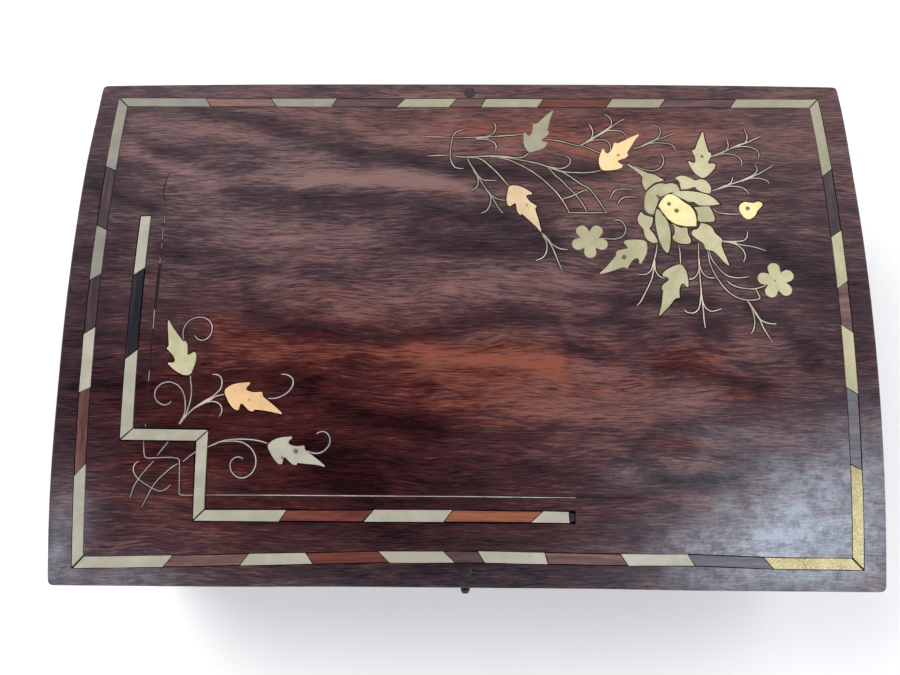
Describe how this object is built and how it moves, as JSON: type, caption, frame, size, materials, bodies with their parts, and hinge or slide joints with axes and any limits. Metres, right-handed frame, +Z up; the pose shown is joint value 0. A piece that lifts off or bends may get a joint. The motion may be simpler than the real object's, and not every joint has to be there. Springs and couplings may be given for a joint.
{
  "type": "inlaid wooden box",
  "caption": "Rectangular hinged wooden box with an arched lid inlaid with brass and copper strips, leaves and flowers, a swing-hook latch and a velvet lining.",
  "frame": {"origin": "middle of the underside of the case, on the surface the box stands on", "axes": "+X along the front, to the right of someone who faces it; +Y to the hinges at the back; +Z up"},
  "size_m": [0.254, 0.1705, 0.09],
  "materials": {
    "rosewood": "satin oiled, dark wavy figure",
    "plug_wood": "dark filled",
    "velvet": "short pile",
    "brass_inlay": "pale, dulled, fine scratches",
    "bright_brass": "polished",
    "copper_inlay": "copper, fine scratches",
    "hardware_brass": "aged"
  },
  "bodies": {
    "case": {"base_panel": "rosewood", "body_back": "rosewood", "body_front": "rosewood", "body_left": "rosewood", "body_right": "rosewood", "catch_pin": "hardware_brass", "hinge_body_leaf_left": "hardware_brass", "hinge_body_leaf_right": "hardware_brass", "hinge_pin_left": "hardware_brass", "hinge_pin_right": "hardware_brass", "hinge_screw_body_left_1": "hardware_brass", "hinge_screw_body_left_2": "hardware_brass", "hinge_screw_body_right_1": "hardware_brass", "hinge_screw_body_right_2": "hardware_brass", "lining_back": "velvet", "lining_floor": "velvet", "lining_front": "velvet", "lining_left": "velvet", "lining_right": "velvet"},
    "lid": {"border_back_left_long": "brass_inlay", "border_back_left_short": "brass_inlay", "border_back_right_long": "brass_inlay", "border_back_right_short": "brass_inlay", "border_front_left_long": "brass_inlay", "border_front_left_short": "brass_inlay", "border_front_right_long": "brass_inlay", "border_front_right_short": "brass_inlay", "flower_heart": "bright_brass", "hinge_lid_leaf_left": "hardware_brass", "hinge_lid_leaf_right": "hardware_brass", "hinge_screw_lid_left_1": "hardware_brass", "hinge_screw_lid_left_2": "hardware_brass", "hinge_screw_lid_right_1": "hardware_brass", "hinge_screw_lid_right_2": "hardware_brass", "hook_screw": "hardware_brass", "leaf_brass_1": "brass_inlay", "leaf_brass_2": "brass_inlay", "leaf_brass_3": "brass_inlay", "leaf_brass_4": "brass_inlay", "leaf_brass_5": "brass_inlay", "leaf_brass_6": "brass_inlay", "leaf_copper_1": "copper_inlay", "leaf_copper_2": "copper_inlay", "leaf_copper_3": "copper_inlay", "lid_back_rail": "rosewood", "lid_front_rail": "rosewood", "lid_left_end": "rosewood", "lid_lining": "velvet", "lid_right_end": "rosewood", "lid_top_panel": "rosewood", "panel_plug_back": "plug_wood", "panel_plug_front": "plug_wood", "step_strip_1": "brass_inlay", "step_strip_2": "brass_inlay", "step_strip_3": "brass_inlay", "step_strip_4": "brass_inlay", "step_strip_5": "brass_inlay", "step_strip_6": "brass_inlay", "step_strip_7": "brass_inlay"},
    "hook": {"latch_hook": "hardware_brass"}
  },
  "joints": [
    {"name": "lid_hinge", "type": "hinge", "parent": "case", "child": "lid", "pos_m": [0, 0.0805, 0.06015], "axis": [-1, 0, 0], "range_deg": [0, 98]},
    {"name": "hook_swing", "type": "hinge", "parent": "lid", "child": "hook", "pos_m": [0, -0.0843, 0.0685], "axis": [0, 1, 0], "range_deg": [-90, 90]}
  ]
}
